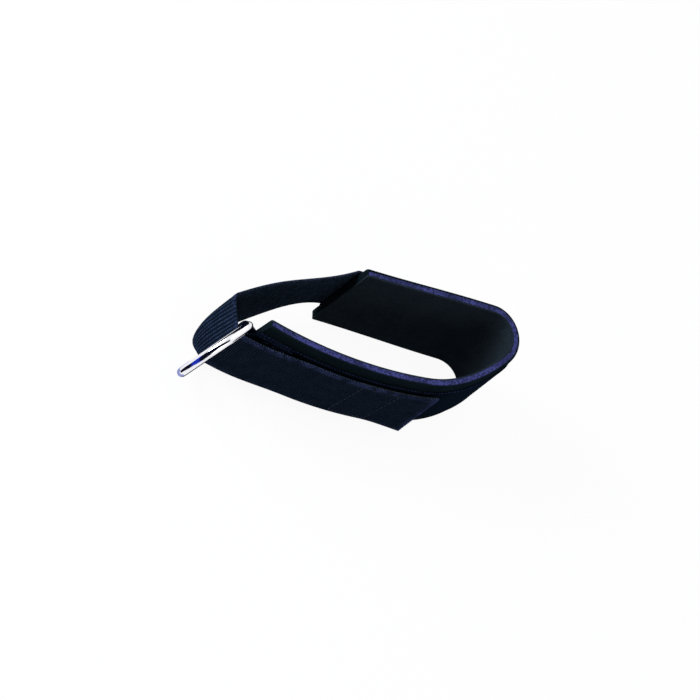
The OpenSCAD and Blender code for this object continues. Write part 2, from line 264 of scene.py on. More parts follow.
def makeCard(name, *stops):
    # a glowing card that only the polished wire mirrors, which paints a reflection into the wire; each
    # stop is one of its colours and the distance from the ring, in mm, at which it has it
    ahead = np.radians(cards["ahead"])
    frontward, leftward = [np.cos(ahead), np.sin(ahead), 0.0], [-np.sin(ahead), np.cos(ahead), 0.0]
    corners = np.array(cards[name], float) @ np.array([frontward, leftward, [0.0, 0.0, 1.0]])
    foot = np.array([*cards["foot"], 0.0])
    mesh = bpy.data.meshes.new(name + "Card")
    mesh.from_pydata(((foot + corners) * mm).tolist(), [], [list(range(len(corners)))])
    card = addObject(name + "Card", mesh)
    material, nodes = startMaterial(name + "Paint")
    colour = cards[stops[0][0]]
    if len(stops) > 1:
        inputs = {0: nodes.place(), 1: tuple(foot * mm)}
        away = nodes.add("ShaderNodeVectorMath", inputs, operation="DISTANCE").outputs["Value"]
    for (_, near), (paint, far) in zip(stops[:-1], stops[1:]):
        colour = nodes.mix(nodes.span(away, 0.0, 1.0, near * mm, far * mm), colour, cards[paint])
    nodes.surface(nodes.glow(colour))
    mesh.materials.append(material)
    for ray in ("camera", "diffuse", "shadow", "transmission"):
        setattr(card, "visible_" + ray, False)


# painted reflections from glowing cards seen only in the wire: a pale tip card; a wedge on the table
# ahead of the ring, and a wall and a roof beyond it, make the wire's dark core with a deep blue patch;
# patches of the table beside the ring and far walls on both sides make its dark edges
makeCard("tip", ("pale", 0.0))
makeCard("core", ("black", 34.0), ("deep", 48.0), ("deep", 120.0), ("black", 190.0))
for cardName in ("wall", "roof", "edge", "sideWall", "sideTable", "backTable", "backWall"):
    makeCard(cardName, ("black", 0.0))
print("camera, table and lamps stand")

# the cuff's path, which every layer follows; all lengths from here on are in mm
cuff = {
    "start": (-29.405, -0.612),
    "heading": -24.0,
    "width": 27.5,
    "ahead": 12.0,
    "legs": [(46.0, 21.5, 0.0), (27.5, 37.0, -0.11), (14.5, 136.5, 0.12), (39.5, 0.5, 0.06)],
    "lining": 0.35,
    "foam": 1.7,
    "cover": 0.35,
}
web = {"width": 20.0, "band": 0.5, "strap": 0.7, "tab": 0.5, "loop": 0.3, "hook": 0.35, "hookGap": 0.3,
       "bandInset": 0.15}
cuffLength = sum(leg[0] for leg in cuff["legs"])
midHeight = cuff["width"] / 2
webLow = midHeight - web["width"] / 2
webHigh = midHeight + web["width"] / 2
foamAt = cuff["lining"]
coverAt = foamAt + cuff["foam"]
padAt = coverAt + cuff["cover"]
bandAt = padAt + web["band"]
loopAt = bandAt + web["loop"]
tailAt = loopAt + web["hookGap"] + web["hook"]
tabAt = bandAt + web["tab"]


def along(heading):
    # (cos, sin) of the heading
    return np.stack([np.cos(heading), np.sin(heading)], axis=-1)


def outward(heading):
    # the heading turned right by a quarter
    return np.stack([np.sin(heading), -np.cos(heading)], axis=-1)


def ease(f):
    # half a cosine wave, from 0 to 1
    return (1 - np.cos(np.pi * np.clip(f, 0, 1))) / 2


def legTable():
    # each leg starts where the last one ends: a chord of length L sinc(turn / 2) at half the turn
    headings, points, starts, leans = [np.radians(cuff["heading"])], [], [-cuff["ahead"]], [0.0]
    point = np.array(cuff["start"]) - cuff["ahead"] * along(headings[0])
    legs = [(cuff["ahead"], 0.0, 0.0)] + cuff["legs"]
    for length, turn, lean in legs:
        turn = np.radians(turn)
        points.append(point)
        point = point + length * np.sinc(turn / 2 / np.pi) * along(headings[-1] + turn / 2)
        headings.append(headings[-1] + turn)
        starts.append(starts[-1] + length)
        leans.append(lean)
    return legs, np.array(points), np.array(headings), np.array(starts), np.array(leans)


legs, legPoints, legHeadings, legStarts, legLeans = legTable()
legLengths = np.array([leg[0] for leg in legs])
legTurns = np.radians([leg[1] for leg in legs])


def cuffPath(s):
    # point, heading and lean at distance s: arcs of even curvature, with an eased change of lean
    s = np.asarray(s, float)
    leg = np.clip(np.searchsorted(legStarts, s, side="right") - 1, 0, len(legLengths) - 1)
    run = s - legStarts[leg]
    turn = legTurns[leg] * run / legLengths[leg]
    chord = (run * np.sinc(turn / 2 / np.pi))[..., None]
    point = legPoints[leg] + chord * along(legHeadings[leg] + turn / 2)
    lean = legLeans[leg] + (legLeans[leg + 1] - legLeans[leg]) * ease(run / legLengths[leg])
    return point, legHeadings[leg] + turn, lean


def withHeight(flat, z):
    # points (x, y) brought to the height z
    return np.concatenate([flat, np.broadcast_to(z, flat.shape[:-1])[..., None]], axis=-1)


def onCuff(s, n, z):
    # path point plus the outward normal times (n + height above the middle times lean)
    s, n, z = np.broadcast_arrays(np.asarray(s, float), n, z)
    point, heading, lean = cuffPath(s)
    return withHeight(point + outward(heading) * (n + (z - midHeight) * lean)[..., None], z)


def lengthAlong(line):
    # the distance walked from the first point to each point
    return np.append(0, np.cumsum(np.linalg.norm(np.diff(line, axis=0), axis=1)))


def resampled(values, length, fine):
    # the columns of a table read between its rows, at new distances
    return np.stack([np.interp(fine, length, column) for column in values.T], axis=1)


def softNoise(shape, scale, seed):
    # white noise with all waves shorter than the scale filtered out, from -1 to 1
    rows, columns = shape
    field = np.random.RandomState(seed).normal(size=shape)
    fy = np.fft.fftfreq(rows)[:, None]
    fx = np.fft.fftfreq(columns)[None, :]
    keep = np.exp(-((fx * scale) ** 2 + (fy * scale) ** 2) * 8)
    field = np.real(np.fft.ifft2(np.fft.fft2(field) * keep))
    return np.clip(field / (np.std(field) * 2.2 + 1e-12), -1, 1)


def meshObject(name, points, faces, corners, material):
    # points in mm, faces as rows of indices, corners as one UV pair for each face corner
    mesh = bpy.data.meshes.new(name)
    mesh.from_pydata((np.asarray(points) * mm).tolist(), [], faces)
    layer = mesh.uv_layers.new(name="UVMap")
    layer.data.foreach_set("uv", np.asarray(corners, np.float32).ravel())
    mesh.polygons.foreach_set("use_smooth", np.full(len(mesh.polygons), True))
    mesh.update()
    mesh.materials.append(material)
    return addObject(name, mesh)


def addAttribute(piece, name, values):
    # one number for each point, which the piece's material reads
    layer = piece.data.attributes.new(name=name, type="FLOAT", domain="POINT")
    layer.data.foreach_set("value", np.asarray(values, np.float32).ravel())


def tubeMesh(name, grid, u, v, material, closed=False):
    # a closed outline carried along a path: grid[i, j] is outline point j at path step i; u and v are
    # the pattern's place along the path and round the outline, v with one value more where it closes
    steps, rim = grid.shape[:2]
    rows = steps if closed else steps - 1
    u = np.broadcast_to(u[:, None] if u.ndim == 1 else u, (len(u), rim))
    i, j = np.meshgrid(np.arange(rows), np.arange(rim), indexing="ij")
    i2, j2 = (i + 1) % steps, (j + 1) % rim
    quads = np.stack([i * rim + j, i2 * rim + j, i2 * rim + j2, i * rim + j2], axis=-1).reshape(-1, 4)
    sides = ((i, j, j), (i + 1, j, j), (i + 1, j2, j + 1), (i, j2, j + 1))
    corners = [np.stack([u[row, column], v[place]], -1) for row, column, place in sides]
    corners = np.stack(corners, axis=2).reshape(-1, 4, 2)
    points = grid.reshape(-1, 3)
    inside = signedVolume(points, quads) < 0
    if inside:
        quads, corners = quads[:, ::-1], corners[:, ::-1]
    faces, corners = quads.tolist(), corners.reshape(-1, 2)
    ends = [] if closed else [(0, not inside), (steps - 1, inside)]
    for row, rising in ends:
        order = np.arange(rim) if rising else np.arange(rim)[::-1]
        faces.append((row * rim + order).tolist())
        corners = np.concatenate([corners, np.stack([u[row][order], v[order]], 1)])
    piece = meshObject(name, points, faces, corners, material)
    for polygon in list(piece.data.polygons)[len(quads):]:
        polygon.use_smooth = False
    return piece


def signedVolume(points, quads):
    # six times the volume inside the quads, negative where they face inwards
    a, b, c, d = (points[quads[:, k]] - points.mean(0) for k in range(4))
    return np.einsum("ij,ij->i", a, np.cross(b, c) + np.cross(c, d)).sum()


def stripOutline(low, high, thick, acrossSteps, edgeSteps):
    # the outline of a flat strip in (n, z): up its inner face, round one edge, down its outer face;
    # the pattern's place across the strip is the height above its lower edge, on both faces
    radius = thick / 2
    flat = low + radius + (high - low - thick) * ease(np.linspace(0, 1, acrossSteps))
    swing = np.linspace(-np.pi / 2, np.pi / 2, edgeSteps + 2)[1:-1]
    n = np.concatenate([np.zeros(acrossSteps), radius + np.sin(swing) * radius,
                        np.full(acrossSteps, thick), radius - np.sin(swing) * radius])
    z = np.concatenate([flat, high - radius + np.cos(swing) * radius,
                        flat[::-1], low + radius - np.cos(swing) * radius])
    return n, z, np.append(z, z[0]) - low


print("paths are ready")

# cloth, foam and metal; a look's numbers stand in its dictionary, scales of noise are per metre
def finishMaterial(nodes, colour, roughness, bump, settings):
    # bump is its strength, its depth in metres and its height
    inputs = dict(zip(("Strength", "Distance", "Height"), bump))
    normal = nodes.add("ShaderNodeBump", inputs).outputs[0]
    inputs = {"Base Color": colour, "Roughness": roughness, "Normal": normal, **settings}
    nodes.surface(nodes.add("ShaderNodeBsdfPrincipled", inputs).outputs[0])


def wovenMaterial(name, spec):
    # ribs across the strap, each broken into floats that step sideways from rib to rib, and dotted
    # edges; the inner face, the strained part and the sealed end have colours of their own; the
    # strained part is paler partly from the stretched yarn and partly as painted light on the lit turn
    material, nodes = startMaterial(name)
    u, v = nodes.clothPlace()
    place = nodes.place()
    paler, outer, sealed = (nodes.attribute(key) for key in ("paler", "outer", "sealed"))
    wander = nodes.times(nodes.noise(place, 900.0, 2.0), 0.35)
    fibre = nodes.noise(place, 4200.0, 4.0, 0.7)
    patchy = nodes.noise(place, 420.0, 3.0, 0.6)
    row = nodes.plus(nodes.maths("DIVIDE", u, spec["pitch"]), nodes.times(wander, 0.3))
    rib = nodes.ridges(row)
    step = nodes.times(nodes.maths("FLOOR", row), 0.5)
    thread = nodes.ridges(nodes.plus(nodes.maths("DIVIDE", v, spec["float"]), nodes.plus(step, wander)))
    height = nodes.plus(nodes.times(rib, nodes.span(thread, 0.35, 1.0)), nodes.times(fibre, 0.45))
    # partly the yarn's own tone, partly painted highlight on rib crowns and float beads and painted
    # shade in the grooves
    crown = nodes.times(nodes.span(rib, 0.0, 1.0, 0.45, 1.0), nodes.span(thread, 0.25, 1.0),
                        nodes.span(fibre, 0.1, 1.7, 0.3, 0.72), nodes.span(patchy, 0.55, 1.3, 0.3, 0.7),
                        clamp=True)
    quiet = nodes.mix(crown, spec["dark"], nodes.mix(outer, spec["inner"], spec["base"]))
    # the strained colour: paler stretched yarn, and painted light where the lamp falls on the turn
    stretchedAndLit = nodes.mix(crown, spec["dark"], spec["strained"])
    colour = nodes.mix(paler, quiet, stretchedAndLit)

    # twill dots along both woven edges, most of them on the outer face and where nothing strains; their
    # light tone is partly painted highlight, full on the upper edge where the light falls, with painted
    # shade leaving a quarter of it on the lower edge
    reach, wide = web["width"] / 2, spec["edgeWidth"]
    middle = nodes.maths("SUBTRACT", v, reach)
    high = nodes.span(middle, 0.0, 1.0, reach - wide, reach - wide * 0.2)
    # painted shade: the lower edge keeps only a quarter of the dots
    low = nodes.span(middle, 0.25, 0.0, -reach + wide * 0.5, -reach + wide)
    band = nodes.times(nodes.plus(high, low), nodes.span(outer, spec["innerEdge"], 1.0),
                       nodes.span(paler, 1.0, 0.45), nodes.span(patchy, 0.2, 1.15, 0.36, 0.62),
                       clamp=True)
    stray = nodes.times(wander, 1.2)
    slant = nodes.maths("DIVIDE", v, 0.8)
    twill = nodes.times(nodes.ridges(nodes.plus(u, nodes.plus(slant, stray))),
                        nodes.ridges(nodes.maths("SUBTRACT", u, nodes.maths("SUBTRACT", slant, stray))))
    dots = nodes.span(nodes.times(twill, nodes.span(fibre, 0.35, 1.6, 0.3, 0.7)), 0.12, 1.0, 0.2, 0.75)
    colour = nodes.mix(nodes.times(band, dots), colour, spec["edge"])
    worn = nodes.times(sealed, nodes.span(patchy, 0.35, 1.0, 0.3, 0.6))
    colour = nodes.mix(worn, colour, spec["edge"])
    finishMaterial(nodes, colour, nodes.span(fibre, 0.72, 0.95), (spec["bump"], 0.00012, height),
                   {"Sheen Weight": spec["sheen"], "Sheen Roughness": 0.45,
                    "Sheen Tint": (0.20, 0.45, 1.0, 1.0), "Specular IOR Level": 0.0})
    return material


def knitMaterial(name, spec):
    # rows of small loops: a wave along the cloth pushed sideways by a wave across it, with lint
    material, nodes = startMaterial(name)
    u, v = nodes.clothPlace()
    place = nodes.place()
    turns = 2 * np.pi / spec["gauge"]
    across = nodes.maths("ABSOLUTE", nodes.maths("SINE", nodes.times(v, turns)))
    pushed = nodes.plus(nodes.times(u, turns), nodes.times(across, 1.6))
    loops = nodes.span(nodes.maths("SINE", pushed), 0.0, 1.0, -1.0, 1.0, smooth=False)
    fibre = nodes.noise(place, 3600.0, 5.0, 0.75)
    cloud = nodes.noise(place, 160.0, 3.0, 0.6)
    height = nodes.plus(nodes.times(loops, 0.5), fibre)
    shade = nodes.times(nodes.span(loops, 0.6, 1.0), nodes.span(fibre, 0.4, 1.4, 0.3, 0.72),
                        nodes.span(cloud, 0.7, 1.15, 0.3, 0.7), clamp=True)
    lint = nodes.span(nodes.noise(place, 1700.0, 2.0, 0.5), 0.0, 0.5, 0.66, 0.74)
    colour = nodes.mix(lint, nodes.mix(shade, spec["dark"], spec["base"]), spec["lint"])
    finishMaterial(nodes, colour, nodes.span(fibre, 0.8, 0.98), (spec["bump"], 0.0001, height),
                   {"Sheen Weight": spec["sheen"], "Sheen Roughness": 0.5,
                    "Sheen Tint": (0.3, 0.6, 1.0, 1.0), "Specular IOR Level": 0.0})
    return material


def foamMaterial(name, spec):
    # cut foam: open cells as pits painted dark, as painted shade, between pale walls, fine mottling,
    # and slow changes of tone
    material, nodes = startMaterial(name)
    place = nodes.place()
    cells = nodes.add("ShaderNodeTexVoronoi", {"Vector": place, "Scale": 2600.0}).outputs["Distance"]
    grain = nodes.noise(place, 1500.0, 4.0, 0.65)
    cloud = nodes.noise(place, 110.0, 3.0, 0.6)
    # painted shade: the open cells' pits darker than their walls
    pits = nodes.span(cells, 0.45, 1.0, 0.05, 0.6)
    shade = nodes.times(pits, nodes.span(grain, 0.05, 1.25, 0.32, 0.68),
                        nodes.span(cloud, 0.35, 1.45, 0.34, 0.66), clamp=True)
    height = nodes.plus(pits, nodes.times(grain, 0.6))
    finishMaterial(nodes, nodes.mix(shade, spec["pit"], spec["wall"]), nodes.span(grain, 0.75, 0.95),
                   (spec["bump"], 0.00012, height),
                   {"Sheen Weight": 0.03, "Sheen Roughness": 0.6, "Specular IOR Level": 0.05})
    return material


def metalMaterial(name, spec):
    # plated steel: bright and almost smooth, with hairline wear that also breaks up the gloss
    material, nodes = startMaterial(name)
    place = nodes.place()
    wear = nodes.noise(place, 700.0, 5.0, 0.65)
    stretch = nodes.add("ShaderNodeMapping", {"Vector": place, "Scale": (300.0, 300.0, 4000.0)})
    hair = nodes.noise(stretch.outputs[0], 1.0, 3.0, 0.6)
    rough = nodes.plus(nodes.span(wear, *spec["rough"], 0.35, 0.75),
                       nodes.span(hair, 0.0, 0.05, 0.55, 0.8))
    worn = tuple(part * 0.72 for part in spec["colour"])
    tone = nodes.mix(nodes.span(wear, 0.0, 0.35, 0.55, 0.8), spec["colour"], worn)
    finishMaterial(nodes, tone, rough, (spec["scratch"], 0.00002, hair), {"Metallic": 1.0})
    return material


def plasticMaterial(name, colour):
    # moulded plastic with a fine grain
    material, nodes = startMaterial(name)
    grain = nodes.noise(nodes.place(), 3000.0, 3.0, 0.6)
    tone = nodes.mix(grain, tuple(part * 0.6 for part in colour), colour)
    finishMaterial(nodes, tone, nodes.span(grain, 0.32, 0.55), (0.25, 0.00005, grain),
                   {"Specular IOR Level": 0.3})
    return material


def threadMaterial(name, colour):
    # twisted thread: slanted stripes that follow the stitch, with fuzz
    material, nodes = startMaterial(name)
    u, v = nodes.clothPlace()
    slant = nodes.plus(nodes.times(u, 22.0), nodes.times(v, 6.0))
    twist = nodes.maths("ABSOLUTE", nodes.maths("SINE", slant))
    fibre = nodes.noise(nodes.place(), 6000.0, 3.0, 0.7)
    tone = nodes.mix(nodes.times(twist, fibre), tuple(part * 0.45 for part in colour), colour)
    finishMaterial(nodes, tone, nodes.span(fibre, 0.6, 0.8), (0.5, 0.00005, nodes.plus(twist, fibre)),
                   {"Sheen Weight": 0.03, "Specular IOR Level": 0.1})
    return material


elasticLook = {
    "pitch": 0.66, "float": 0.95, "bump": 0.5, "sheen": 0.015, "edgeWidth": 2.4, "innerEdge": 0.25,
    "dark": (0.0024, 0.0045, 0.0082), "base": (0.0120, 0.0178, 0.0300),
    # the strained colour is partly painted light on the strap's lit turn
    "inner": (0.0420, 0.0600, 0.0880), "strained": (0.0165, 0.0280, 0.0640),
    "edge": (0.030, 0.040, 0.110),
}
webbingLook = dict(elasticLook, pitch=0.74, float=0.8, edgeWidth=0.5, dark=(0.0014, 0.0033, 0.0066),
                   base=(0.0042, 0.0074, 0.0112), inner=(0.0042, 0.0074, 0.0112),
                   edge=(0.018, 0.024, 0.070))
liningLook = {"gauge": 0.7, "bump": 0.4, "sheen": 0.01, "lint": (0.016, 0.022, 0.033),
              "dark": (0.0060, 0.0104, 0.0145), "base": (0.0175, 0.0245, 0.0330)}
coverLook = dict(liningLook, gauge=0.6, lint=(0.012, 0.018, 0.028), dark=(0.0014, 0.0034, 0.0048),
                 base=(0.0050, 0.0092, 0.0118))
pileLook = dict(liningLook, gauge=0.45, bump=0.9, lint=(0.007, 0.010, 0.018),
                dark=(0.0012, 0.0026, 0.0050), base=(0.0028, 0.0050, 0.0090))
foamLook = {"pit": (0.0035, 0.0065, 0.030), "wall": (0.040, 0.046, 0.175), "bump": 0.6}
wireLook = {"colour": (0.86, 0.86, 0.90), "rough": (0.04, 0.13), "scratch": 0.10}
studLook = {"colour": (0.60, 0.60, 0.62), "rough": (0.16, 0.34), "scratch": 0.25}
materials = {
    "elastic": wovenMaterial("ribbedElastic", elasticLook),
    "webbing": wovenMaterial("flatWebbing", webbingLook),
    "lining": knitMaterial("liningKnit", liningLook),
    "cover": knitMaterial("coverKnit", coverLook),
    "foam": foamMaterial("cutFoam", foamLook),
    "ring": metalMaterial("polishedWire", wireLook),
    "stud": metalMaterial("platedSteel", studLook),
    "hooks": plasticMaterial("hookPlastic", (0.008, 0.010, 0.015)),
    "pile": knitMaterial("loopPile", pileLook),
    "thread": threadMaterial("sewingThread", (0.012, 0.019, 0.044)),
}
print("materials are mixed")


# padded cuff: lining, foam core and outer cover
pad = {
    "step": 0.35,
    "corner": 0.6,  # radius of the corners
    "hollow": 0.03, "rough": 0.07, "roughLong": 0.05,  # the foam's cut edge
    "rollWide": 0.9, "coverRoll": 0.28, "liningRoll": 0.18, "endRoll": 1.2, "endRun": 6.0,
    "swell": 0.03, "swellWide": 1.2, "edgeSwell": 0.10, "pucker": 0.06,
    "wrinkle": 0.10, "wrinkleLength": 2.3, "wrinkleDrift": 2.5, "wrinkleFrom": 0.3,
    "flap": 0.4, "fold": 0.25, "flapThin": 0.25, "flapInset": 0.008, "flapShort": 0.990,
}


def layerPiece(name, s, n, z, v, material):
    # an outline of (n, z), the same or changing along the path, carried along the cuff
    return tubeMesh(name, onCuff(s[:, None], n, z), s, v, material)


def padSteps(start, end):
    # even steps along the cuff, finer where its corners are rounded
    bend = pad["corner"] * (1 - np.cos(np.linspace(0, np.pi / 2, 8)))
    middle = np.linspace(start + pad["corner"], end - pad["corner"], int((end - start) / pad["step"]))
    return np.unique(np.round(np.concatenate([start + bend, middle, end - bend]), 6))


def trimmed(s, z, start=0.0, end=cuffLength):
    # heights drawn towards the middle by r - sqrt(r^2 - (r - gap)^2), which rounds the pad's corners
    gap = np.clip(np.minimum(s - start, end - s) / pad["corner"], 0, 1)
    cut = pad["corner"] * (1 - np.sqrt(gap * (2 - gap)))
    return midHeight + (z - midHeight) * (1 - cut / midHeight)[:, None]


def edgeRoll(s, z):
    # 1 at the pad's long edges, falling to 0 within a short way of them, and more near its ends
    gap = np.clip(np.minimum(z, cuff["width"] - z) / pad["rollWide"], 0, 1)
    ends = 1 + pad["endRoll"] * np.exp(-np.minimum(s, cuffLength - s) / pad["endRun"])
    return ends[:, None] * (1 - gap) ** 2


def slabOutline(acrossSteps, depthSteps):
    # round a slab's four sides: share of the thickness, and height
    across = cuff["width"] * ease(np.linspace(0, 1, acrossSteps))
    depth = np.linspace(0, 1, depthSteps + 2)[1:-1]
    share = np.concatenate([np.zeros(acrossSteps), depth, np.ones(acrossSteps), depth[::-1]])
    z = np.concatenate([across, np.full(depthSteps, cuff["width"]), across[::-1], np.zeros(depthSteps)])
    return share, z, np.append(z, 0.0) + np.append(share, 0.0)


def makeFoam():
    # a slab pinched between the cloths at its cut edges, which are slightly hollow and rough
    s = padSteps(pad["flap"], cuffLength - pad["flap"])
    share, z, v = slabOutline(41, 7)
    roll = edgeRoll(s, z)
    thick = cuff["foam"] - (pad["liningRoll"] + pad["coverRoll"]) * roll
    n = foamAt + pad["liningRoll"] * roll + share * thick
    field = (len(s), len(z))
    rough = np.abs(softNoise(field, 5, 3)) * pad["rough"] + softNoise(field, 30, 4) * pad["roughLong"]
    dent = (pad["hollow"] + rough) * np.sin(np.pi * share)
    side = np.sign(z - midHeight) * (np.abs(z - midHeight) > midHeight - 0.01)
    grid = trimmed(s, z - dent * side, pad["flap"] * 0.5, cuffLength - pad["flap"] * 0.5)
    piece = layerPiece("foamCore", s, n, grid, v, materials["foam"])
    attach(piece, "cuff")
    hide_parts("foam_core")


def makePly(name, node, low, thick, outer, seed):
    # a thin cloth bonded to the foam, thicker where its free edge rolls over the foam's cut edge;
    # the inner one also wrinkles where the cuff bends most
    s = padSteps(0.0, cuffLength)
    n, z, v = stripOutline(0.0, cuff["width"], thick, 61, 5)
    through = n / thick if outer else 1 - n / thick
    away = -1.0 if outer else 1.0
    roll = pad["coverRoll"] if outer else pad["liningRoll"]
    soft = np.clip(np.minimum(z, cuff["width"] - z) / pad["swellWide"], 0, 1)
    waves = (pad["swell"] + softNoise((len(s), len(n)), 22, seed) * pad["pucker"]) * soft
    waves = waves + pad["edgeSwell"] * (1 - soft) ** 2
    if not outer:
        bend = np.abs(np.gradient(cuffPath(s)[1], s))
        crumple = np.clip(bend / bend.max() - pad["wrinkleFrom"], 0, 1)[:, None] * soft
        drift = softNoise((len(s), len(n)), 40, seed + 1) * pad["wrinkleDrift"]
        wrinkle = 0.5 + 0.5 * np.sin(2 * np.pi * s[:, None] / pad["wrinkleLength"] + drift)
        waves = waves + crumple * pad["wrinkle"] * wrinkle
    nGrid = low + n + away * (roll * edgeRoll(s, z) * (1 - through) + waves * (through > 0.9))
    piece = layerPiece(name, s, nGrid, trimmed(s, z), v, materials["cover" if outer else "lining"])
    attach(piece, "cuff")
    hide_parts(node)


def makeEndFlaps():
    # cover cloth turned round each cut end of the foam, rounded over where it bends
    for name, at, direction in (("frontFlap", 0.0, 1), ("backFlap", cuffLength, -1)):
        reach = pad["flap"] * ease(np.linspace(0, 1, 12))
        s = at + direction * reach
        share, z, v = slabOutline(41, 7)
        gap = (1 - reach / pad["fold"]) * (reach < pad["fold"])
        fold = np.sqrt(1 - gap ** 2)[:, None]
        thick = padAt - (cuff["lining"] + cuff["cover"]) / 2
        n = padAt / 2 + (share - 0.5) * thick * (1 - pad["flapThin"] * (1 - fold))
        grid = midHeight + (trimmed(s, z) - midHeight) * (pad["flapShort"] + pad["flapInset"] * fold)
        piece = layerPiece(name, s, n, grid, v, materials["cover"])
        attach(piece, "cuff")


makeFoam()
makePly("lining", "lining", 0.0, cuff["lining"], False, 11)
makePly("outerCover", "outer_cover", coverAt, cuff["cover"], True, 12)
makeEndFlaps()
print("padded cuff is built")


# webbing
ribs = {
    "band": 0.05, "tab": 0.04, "strap": 0.035, "strained": 0.09,  # depths
    "skew": 1.67, "drift": 0.09, "edge": 0.6, "power": 0.7,
    "proud": 0.08, "proudAt": 1.0, "proudWide": 0.7,  # woven edges, as a share of the thickness
}


def webOutline(thick):
    # the outline that every webbing of this strap has, for its own thickness
    return stripOutline(webLow, webHigh, thick, 33, 5)


def ribbed(outline, thick, place, pitch, depth):
    # the outline's n at every step, with both faces cut by ribs that are one pitch apart;
    # the woven edges stand a little proud of the strap's middle
    n, z = outline[:2]
    gap = np.minimum(z - webLow, webHigh - z)
    proud = thick * ribs["proud"] * (np.exp(-((gap - ribs["proudAt"]) / ribs["proudWide"]) ** 2) - 1)
    rib = np.abs(np.sin(np.pi * place / pitch)) ** ribs["power"]
    groove = depth * (1 - rib) * np.clip(gap / ribs["edge"], 0, 1)
    face = np.where(n > thick * 0.9, 1.0, np.where(n < thick * 0.1, -1.0, 0.0))
    return n + face * (proud - groove)


def markOuter(piece, outline, thick, steps):
    # 1 on the strap's outer face, 0 on its inner one
    addAttribute(piece, "outer", np.broadcast_to(outline[0] > thick / 2, (steps, len(outline[0]))))


def makeBaseBand():
    # one straight webbing on the cover, from end to end of the cuff
    s = np.linspace(web["bandInset"], cuffLength - web["bandInset"], 900)
    outline = webOutline(web["band"])
    n = padAt + ribbed(outline, web["band"], s[:, None], webbingLook["pitch"], ribs["band"])
    piece = layerPiece("baseBand", s, n, outline[1], outline[2], materials["webbing"])
    markOuter(piece, outline, web["band"], len(s))
    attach(piece, "cuff")
    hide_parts("base_band")


# the D-ring's bar, on which the tab's eye and the strap's turn are centred
ring = {"ahead": 4.2, "wire": 2.4, "play": 0.8, "depth": 15.0, "corner": 1.8, "heading": 216.0,
        "eyeGap": 0.15, "wrapGap": 0.3, "bead": 0.07, "beadWide": 0.5}
wireRadius = ring["wire"] / 2
eyeRadius = wireRadius + ring["eyeGap"]
wrapRadius = eyeRadius + web["tab"] + ring["wrapGap"]
startHeading = np.radians(cuff["heading"])
barPoint = np.array(cuff["start"]) - ring["ahead"] * along(startHeading) + tabAt * outward(startHeading)
tab = {"lap": 9.0, "neck": 3.4, "foldGap": 0.02}


def makeRingTab():
    # one webbing: along the band, round the bar on a circle, and back on top of itself
    radius = eyeRadius + web["tab"] / 2
    s = np.linspace(tab["lap"], -ring["ahead"], 60, endpoint=False)
    rise = ease((tab["neck"] - ring["ahead"] - s) / tab["neck"])
    half = web["tab"] / 2 + (radius - web["tab"] / 2) * rise
    inner = onCuff(s, tabAt - half, 0.0)[:, :2]
    outer = onCuff(s, tabAt + half, 0.0)[:, :2][::-1]
    swing = np.linspace(np.pi / 2, 3 * np.pi / 2, 48)
    turn = barPoint + radius * (np.cos(swing)[:, None] * along(startHeading)
                                - np.sin(swing)[:, None] * outward(startHeading))
    line = np.concatenate([inner, turn, outer])
    tangent = unit(np.gradient(line, axis=0))
    side = np.stack([tangent[:, 1], -tangent[:, 0]], axis=1)
    length = lengthAlong(line)
    fine = np.linspace(0, length[-1], 340)
    line, side = resampled(line, length, fine), unit(resampled(side, length, fine))
    thick = web["tab"] - tab["foldGap"]
    outline = webOutline(thick)
    n = ribbed(outline, thick, fine[:, None], webbingLook["pitch"], ribs["tab"])
    flat = line[:, None, :] + side[:, None, :] * (n - thick / 2)[..., None]
    piece = tubeMesh("ringTab", withHeight(flat, outline[1]), fine, outline[2], materials["webbing"])
    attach(piece, "cuff")
    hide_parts("ring_tab")


# the free strap: each edge is a curve of its own, and the cloth is ruled between them
strap = {
    "lap": 14.0,
    "lapEnd": 1.2,
    "crease": 1.5,
    "leaveReach": 10.0,
    "arriveReach": 15.0,
    "low": {"leave": -180.0, "far": -155.0, "near": -62.0, "run": 2.7, "ripple": 0.0},
    "high": {"leave": -164.0, "far": -161.0, "near": -90.0, "run": 7.0, "ripple": 0.4},
    "step": 0.125,
    "bow": 1.45,
    "bowHeading": -129.4,
    "bowFrom": 0.45,
    "bowPower": 0.6,
    "slack": 0.04,
}
tail = {"end": 51.0, "settle": 18.0, "kick": 2.0, "kickRun": 12.0, "joint": -1.35, "bendEnd": 3.0,
        "seal": 0.5, "hookLength": 22.0, "loopStart": 12.0, "loopLength": 44.0}


def tailLift(s):
    # inner face of the tail: from the ring's turn down to the loop patch
    high = tabAt + wrapRadius
    return high + (tailAt - high) * ease((s + ring["ahead"]) / (tail["settle"] + ring["ahead"]))


def tailOffset(s, z):
    # the lower edge lifts with the square of the way past the kick's start, the upper one stays
    kick = tail["kick"] * np.clip((s - tail["end"] + tail["kickRun"]) / tail["kickRun"], 0, None) ** 2
    return tailLift(s) + kick * (webHigh - z) / web["width"]


